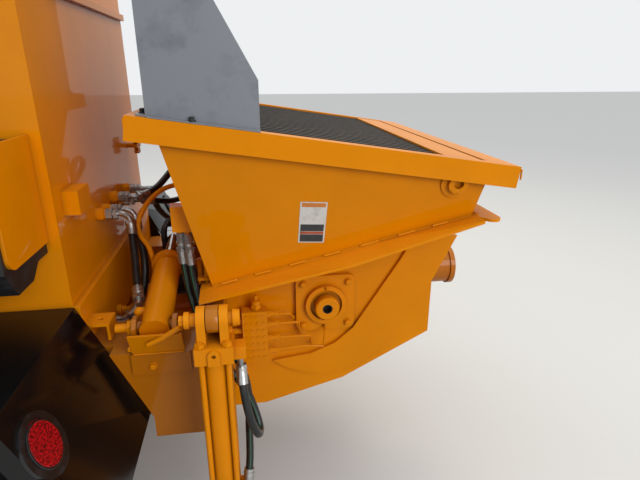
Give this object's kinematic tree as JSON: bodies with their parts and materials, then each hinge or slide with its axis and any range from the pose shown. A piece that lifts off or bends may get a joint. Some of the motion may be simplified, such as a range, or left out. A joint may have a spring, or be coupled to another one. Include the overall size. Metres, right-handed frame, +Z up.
{
  "type": "trailer-mounted concrete pump",
  "caption": "Towed single-axle concrete pump with a rear hopper, swinging S-tube valve, hinged grate, side doors, hydraulic rear legs and a tongue jack.",
  "frame": {"origin": "on the ground, at the middle of the machine's box", "axes": "+X along the direction of travel, +Y to the machine's left, +Z up"},
  "size_m": [4.9, 1.8816, 1.93],
  "materials": {
    "paint": "gloss orange-yellow enamel",
    "black_paint": "satin black enamel",
    "gloss_black": "gloss black enamel",
    "forged": "dark forged steel",
    "lamp_rubber": "moulded rubber ring",
    "lamp_lens": "clear red moulded lens",
    "bare_steel": "plated steel",
    "engine_iron": "painted cast iron",
    "moulded_black": "moulded black plastic",
    "galvanised": "dull grey sheet",
    "hose_rubber": "wrapped rubber hose",
    "wheel_paint": "white wheel enamel",
    "tyre": "road tyre rubber",
    "grate_steel": "dark worn steel bar",
    "rod_chrome": "hard chromed rod"
  },
  "bodies": {
    "chassis": {"main_frame": "paint", "drawbar": "paint", "drawbar_eye": "forged", "axle_beam": "black_paint", "leaf_springs": "black_paint", "fender_left": "gloss_black", "fender_right": "gloss_black", "lamp_rings": "lamp_rubber", "lamp_lenses": "lamp_lens", "enclosure_body": "paint", "roof_cover": "paint", "front_grille": "black_paint", "exhaust_stack": "bare_steel", "engine_block": "engine_iron", "fuel_tank": "moulded_black", "tank_guards": "paint", "pumping_cylinders": "paint", "water_box": "paint", "drive_cylinders": "paint", "valve_box": "paint", "trough_cheeks": "paint", "hopper_funnel": "paint", "splash_guard": "galvanised", "agitator_bearings": "paint", "agitator_motor": "engine_iron", "grease_manifold": "paint", "rear_brackets": "paint", "leg_barrels": "paint", "delivery_outlet": "paint", "bulkhead_fittings": "bare_steel", "hydraulic_hoses": "hose_rubber", "jack_tube": "black_paint"},
    "wheel_left": {"rim_left": "wheel_paint", "tyre_left": "tyre"},
    "wheel_right": {"rim_right": "wheel_paint", "tyre_right": "tyre"},
    "door_left": {"door_left": "paint"},
    "door_right": {"door_right": "paint"},
    "grate": {"grate": "grate_steel"},
    "agitator": {"agitator": "forged"},
    "s_tube": {"s_tube": "forged"},
    "shift_barrel_left": {"shift_barrel_left": "paint"},
    "shift_barrel_right": {"shift_barrel_right": "paint"},
    "shift_rod_left": {"shift_rod_left": "rod_chrome"},
    "shift_rod_right": {"shift_rod_right": "rod_chrome"},
    "leg_left": {"leg_rod_left": "rod_chrome"},
    "leg_right": {"leg_rod_right": "rod_chrome"},
    "jack_leg": {"jack_leg": "bare_steel"}
  },
  "joints": [
    {"name": "wheel_left_spin", "type": "hinge", "parent": "chassis", "child": "wheel_left", "pos_m": [-0.778, 0.79, 0.3875], "axis": [0, 1, 0], "continuous": true},
    {"name": "wheel_right_spin", "type": "hinge", "parent": "chassis", "child": "wheel_right", "pos_m": [-0.778, -0.79, 0.3875], "axis": [0, 1, 0], "continuous": true},
    {"name": "door_left_open", "type": "hinge", "parent": "chassis", "child": "door_left", "pos_m": [0.944, 0.492, 1.2], "axis": [0, 0, -1], "range_deg": [0, 110]},
    {"name": "door_right_open", "type": "hinge", "parent": "chassis", "child": "door_right", "pos_m": [0.944, -0.492, 1.2], "axis": [0, 0, 1], "range_deg": [0, 110]},
    {"name": "grate_open", "type": "hinge", "parent": "chassis", "child": "grate", "pos_m": [-1.50116, 0, 1.33128], "axis": [0, 1, 0], "range_deg": [0, 75]},
    {"name": "agitator_spin", "type": "hinge", "parent": "chassis", "child": "agitator", "pos_m": [-1.898, 0, 0.758], "axis": [0, 1, 0], "continuous": true},
    {"name": "valve_swing", "type": "hinge", "parent": "chassis", "child": "s_tube", "pos_m": [-1.412, 0, 0.72], "axis": [1, 0, 0], "range_deg": [-35.55, 35.55]},
    {"name": "shift_barrel_left_tilt", "type": "hinge", "parent": "chassis", "child": "shift_barrel_left", "pos_m": [-1.412, 0.49, 0.798], "axis": [-1, 0, 0], "range_deg": [-1.85, 1.85]},
    {"name": "shift_rod_left_slide", "type": "slide", "parent": "shift_barrel_left", "child": "shift_rod_left", "axis": [0, -0.9691, 0.2467], "range_m": [-0.11575, 0.11575]},
    {"name": "shift_barrel_right_tilt", "type": "hinge", "parent": "chassis", "child": "shift_barrel_right", "pos_m": [-1.412, -0.49, 0.798], "axis": [1, 0, 0], "range_deg": [-1.85, 1.85]},
    {"name": "shift_rod_right_slide", "type": "slide", "parent": "shift_barrel_right", "child": "shift_rod_right", "axis": [0, 0.9691, 0.2467], "range_m": [-0.11575, 0.11575]},
    {"name": "leg_left_slide", "type": "slide", "parent": "chassis", "child": "leg_left", "axis": [0, 0, 1], "range_m": [-0.12, 0.235]},
    {"name": "leg_right_slide", "type": "slide", "parent": "chassis", "child": "leg_right", "axis": [0, 0, 1], "range_m": [-0.12, 0.235]},
    {"name": "jack_slide", "type": "slide", "parent": "chassis", "child": "jack_leg", "axis": [0, 0, 1], "range_m": [-0.1, 0.3]}
  ],
  "couplings": [
    {"joint": "shift_barrel_left_tilt", "follows": "valve_swing", "ratio": 0.03806},
    {"joint": "shift_rod_left_slide", "follows": "valve_swing", "m_per_rad": 0.18334},
    {"joint": "shift_barrel_right_tilt", "follows": "valve_swing", "ratio": -0.03806},
    {"joint": "shift_rod_right_slide", "follows": "valve_swing", "m_per_rad": -0.18334}
  ]
}
